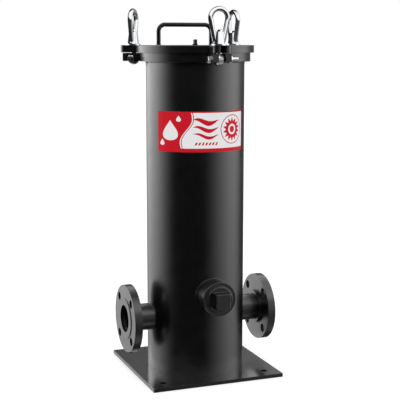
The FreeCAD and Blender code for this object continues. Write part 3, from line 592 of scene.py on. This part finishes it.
for side in ("front", "right", "left"):
    washer = middle_of(f"washer_{side}")
    outward = Matrix.Rotation(math.atan2(washer.y, washer.x), 4, "Z")
    crossing = Matrix.Translation((washer.x, washer.y, PIVOT_HIGH)) @ outward
    wind(f"stud_thread_{side}", f"swing_bolt_{side}", crossing @ lifted(STUD_THREAD_FROM),
         STUD_RADIUS, STUD_PITCH, STUD_THREAD_LONG)
    sideways = crossing @ Matrix.Rotation(-math.pi / 2, 4, "X")
    wind(f"pivot_thread_{side}", "housing", sideways @ lifted(PIVOT_THREAD_FROM), PIVOT_RADIUS,
         PIVOT_PITCH, PIVOT_THREAD_LONG)
    print(side, "threads wound", round(washer.xy.length / MM, 1), "mm from the middle")

# %% [markdown]
# ## The label
# A printed vinyl label is stuck on the shell's upper half. It is flat when it is printed and bends
# when it is stuck on, so it is made the same way here. Each colour is a set of flat shapes, cut into
# narrow upright strips so that it can bend. A Geometry Nodes tree gives the shapes their thickness
# and wraps them round the shell. A picture on one curved sheet would be less work, but then no shape
# would be left in the mesh.

# %% Build the wrapping tree
wrap, given = new_geometry_tree("wrap round shell", [
    ("Shell Radius", "Float"), ("Start Angle", "Float"), ("Lowest", "Float"), ("Lift", "Float"),
    ("Thickness", "Float"), ("Material", "Material")])
raised = fill(add_node(wrap, "GeometryNodeExtrudeMesh"), Individual=False)
upward = fill(add_node(wrap, "ShaderNodeCombineXYZ"), Z=1.0)
turned_over = add_node(wrap, "GeometryNodeFlipFaces")
both = add_node(wrap, "GeometryNodeJoinGeometry")
closed = fill(add_node(wrap, "GeometryNodeMergeByDistance"), Distance=0.005 * MM)
spot = add_node(wrap, "GeometryNodeInputPosition")
flat = add_node(wrap, "ShaderNodeSeparateXYZ")
outside = math_node(wrap, "ADD", given["Shell Radius"], given["Lift"])
radius = math_node(wrap, "ADD", outside, flat.outputs["Z"])
turn = math_node(wrap, "DIVIDE", flat.outputs["X"], given["Shell Radius"])
angle = math_node(wrap, "ADD", turn, given["Start Angle"])
bent = add_node(wrap, "ShaderNodeCombineXYZ")
stuck = add_node(wrap, "GeometryNodeSetPosition")
join(wrap, (given["Geometry"], raised.inputs["Mesh"]), (upward.outputs[0], raised.inputs["Offset"]),
     (given["Thickness"], raised.inputs["Offset Scale"]),
     (given["Geometry"], turned_over.inputs["Mesh"]),
     (raised.outputs["Mesh"], both.inputs[0]), (turned_over.outputs["Mesh"], both.inputs[0]),
     (both.outputs[0], closed.inputs["Geometry"]), (spot.outputs[0], flat.inputs[0]),
     (math_node(wrap, "MULTIPLY", radius, math_node(wrap, "COSINE", angle)), bent.inputs["X"]),
     (math_node(wrap, "MULTIPLY", radius, math_node(wrap, "SINE", angle)), bent.inputs["Y"]),
     (math_node(wrap, "ADD", flat.outputs["Y"], given["Lowest"]), bent.inputs["Z"]),
     (closed.outputs["Geometry"], stuck.inputs["Geometry"]),
     (bent.outputs[0], stuck.inputs["Position"]))
end_geometry_tree(wrap, stuck.outputs[0], given["Material"])
print("wrapping tree with", len(wrap.nodes), "nodes")

# %% [markdown]
# The design is drawn in millimetres from the label's lower left corner. A flat shape is a list of
# corners, and a shape with a curved side is filled with four cornered pieces between two lines.

# %% Helpers for flat shapes
LABEL_WIDE = 218.0
LABEL_HIGH = 86.8
STRIP = 4.0


def curve_points(steps, rule):
    return [rule(step / (steps - 1)) for step in range(steps)]


def bar(left, low, right, high):
    return [(left, low), (right, low), (right, high), (left, high)]


def disc(right, up, radius, corners=32):
    turns = [math.tau * step / corners for step in range(corners)]
    return [(right + radius * math.cos(turn), up + radius * math.sin(turn)) for turn in turns]


def between(upper, lower):
    """Four cornered pieces that fill the space between two lines with as many points."""
    return [[lower[step], lower[step + 1], upper[step + 1], upper[step]]
            for step in range(len(upper) - 1)]


def cut_in_strips(name, outlines):
    """Flat mesh of outlines in millimetres, cut along upright lines so that it can bend."""
    build = bmesh.new()
    for outline in outlines:
        build.faces.new([build.verts.new((right * MM, up * MM, 0.0)) for right, up in outline])
    for line in range(1, int(LABEL_WIDE / STRIP)):
        bmesh.ops.bisect_plane(build, geom=build.verts[:] + build.edges[:] + build.faces[:],
                               plane_co=(line * STRIP * MM, 0.0, 0.0), plane_no=(1.0, 0.0, 0.0))
    bmesh.ops.remove_doubles(build, verts=build.verts[:], dist=0.01 * MM)
    mesh = bpy.data.meshes.new(name)
    build.to_mesh(mesh)
    build.free()
    return mesh


print("label", LABEL_WIDE, "by", LABEL_HIGH, "mm")

# %% [markdown]
# A red frame has a broad bar at the foot. The red field at its left has a slanted, flowing right
# edge, and a thin stripe runs beside it. The edge could be drawn as a curve object, but a formula
# gives the field and the stripe the same line.

# %% Draw the frame, the red field and the stripe
FRAME = 2.6
FOOT_BAR = 8.0
FIELD_FOOT = 58.0
FIELD_LEAN = 22.0
FIELD_FLOW = 7.0
STRIPE_FROM = 2.6
STRIPE_TO = 4.4


def flowing_edge(share):
    right = FIELD_FOOT + FIELD_LEAN * share - FIELD_FLOW * math.sin(math.tau * share)
    return right, FOOT_BAR + (LABEL_HIGH - FRAME - FOOT_BAR) * share


def beside(line, gap):
    return [(right + gap, up) for right, up in line]


edge = curve_points(steps=24, rule=flowing_edge)
frame_bars = [bar(0, 0, LABEL_WIDE, FOOT_BAR), bar(0, LABEL_HIGH - FRAME, LABEL_WIDE, LABEL_HIGH),
              bar(0, FOOT_BAR, FRAME, LABEL_HIGH - FRAME),
              bar(LABEL_WIDE - FRAME, FOOT_BAR, LABEL_WIDE, LABEL_HIGH - FRAME)]
red_field = between([(FRAME, up) for right, up in edge], edge)
stripe = between(beside(edge, STRIPE_FROM), beside(edge, STRIPE_TO))
print(len(frame_bars), "bars and", len(red_field), "pieces in the field")

# %% [markdown]
# The pictures are made up: drops for the fuel, waves for its flow, and the section of a pleated
# cartridge. A wave is thick in its middle and runs out to a point at each end. Three of them lie
# above a row of slanted dashes.

# %% Draw the waves and the dashes
WAVE_LEFT = 84.0
WAVE_LONG = 58.0
WAVE_SWING = 4.5
WAVE_START = 0.8
WAVE_TIP = 0.05
WAVES = ((66.0, 5.5), (50.0, 4.5), (35.0, 3.5))
DASH_LEFT = 88.0
DASH_STEP = 7.5
DASH_LOW = 15.0
DASH_TOP = 21.0
DASH_WIDE = 4.0
DASH_SLANT = 3.0


def wave(middle, depth):
    def line(side):
        def rule(share):
            swing = WAVE_SWING * math.sin(math.tau * share + WAVE_START)
            half_thick = depth * math.sin(math.pi * share) + WAVE_TIP
            return WAVE_LEFT + WAVE_LONG * share, middle + swing + side * half_thick
        return curve_points(steps=30, rule=rule)
    return between(line(1), line(-1))


def dash(left):
    top_left = left + DASH_SLANT
    return [(left, DASH_LOW), (left + DASH_WIDE, DASH_LOW), (top_left + DASH_WIDE, DASH_TOP),
            (top_left, DASH_TOP)]


waves = [piece for middle, depth in WAVES for piece in wave(middle, depth)]
dashes = [dash(DASH_LEFT + DASH_STEP * step) for step in range(7)]
print(len(WAVES), "waves and", len(dashes), "dashes")

# %% [markdown]
# A drop is an oval that is drawn in towards its top: its sides come in by a power of how far the
# line has turned, which leaves a point above and a round belly below. Each has its middle and
# its height.

# %% Draw the drops
DROP_PLUMP = 0.62
DROP_POINT = 1.6
DROPS = ((33.0, 47.0, 44.0), (12.5, 21.0, 14.0), (53.0, 72.0, 13.0))


def drop(right, up, high):
    def rule(share):
        turn = math.tau * share
        out = DROP_PLUMP * high * math.sin(turn) * math.sin(turn / 2) ** DROP_POINT
        return right - out, up + high / 2 * math.cos(turn)
    return curve_points(steps=41, rule=rule)[:-1]


white_shapes = [drop(*place) for place in DROPS]
print(len(white_shapes), "drops")

# %% [markdown]
# Cut across, a pleated cartridge shows its folded paper as a star round the core. The same ring
# drawn without folds is the sock round it, and a disc stands for the core.

# %% Draw the cartridge
CARTRIDGE = (178.0, 47.5)


def ring(outer, valley, inner, pleats):
    """A ring round the cartridge's middle, whose outline goes in and out once for each pleat."""
    right, up = CARTRIDGE
    steps = pleats * 2

    def line(rule):
        turns = [math.tau * step / steps for step in range(steps + 1)]
        return [(right + rule(step) * math.cos(turn), up + rule(step) * math.sin(turn))
                for step, turn in enumerate(turns)]
    return between(line(lambda step: inner), line(lambda step: outer if step % 2 else valley))


paper = ring(outer=26.0, valley=17.5, inner=11.5, pleats=14)
sock = ring(outer=31.5, valley=31.5, inner=29.8, pleats=30)
core = disc(*CARTRIDGE, radius=7.0)
red_shapes = frame_bars + red_field + stripe + waves + dashes + paper + sock + [core]
print(len(red_shapes), "red shapes")

# %% [markdown]
# The vinyl is white, the red ink lies on it, and the drops are white again on the red. Each layer
# is lifted just clear of the one below, because two faces at one height would flicker. Lift and
# thickness are given in that order.

# %% Stick the label on
LABEL_MIDDLE = math.radians(-100.5)
LABEL_LOW = 507.3 * MM


def print_ink(name, colour):
    return make_finish(name, colour, 0.4, grain=1600.0, bump=0.01, wander=0.03, tint=0.01,
                       Specular_IOR_Level=0.12)


white_vinyl = print_ink("white vinyl", (0.7, 0.7, 0.71))
red_ink = print_ink("red ink", (0.5, 0.002, 0.012))
LAYERS = (
    ("label_vinyl", [bar(0, 0, LABEL_WIDE, LABEL_HIGH)], 0.04 * MM, 0.16 * MM, white_vinyl),
    ("label_red", red_shapes, 0.23 * MM, 0.05 * MM, red_ink),
    ("label_drop", white_shapes, 0.31 * MM, 0.05 * MM, white_vinyl))
for name, outlines, lift, thick, ink in LAYERS:
    piece = grow(name, wrap, cut_in_strips(name, outlines), Shell_Radius=SHELL_RADIUS,
                 Start_Angle=LABEL_MIDDLE - LABEL_WIDE * MM / SHELL_RADIUS / 2, Lowest=LABEL_LOW,
                 Lift=lift, Thickness=thick, Material=ink)
    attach(piece, "housing")
    print(name, "has", len(piece.data.polygons), "faces")

# %% [markdown]
# ## Finish
# Nothing added here reaches past the box round the CAD parts. The view transform is Standard, so
# that white stays white.

# %% Finish with the view transform
bpy.context.scene.view_settings.view_transform = "Standard"
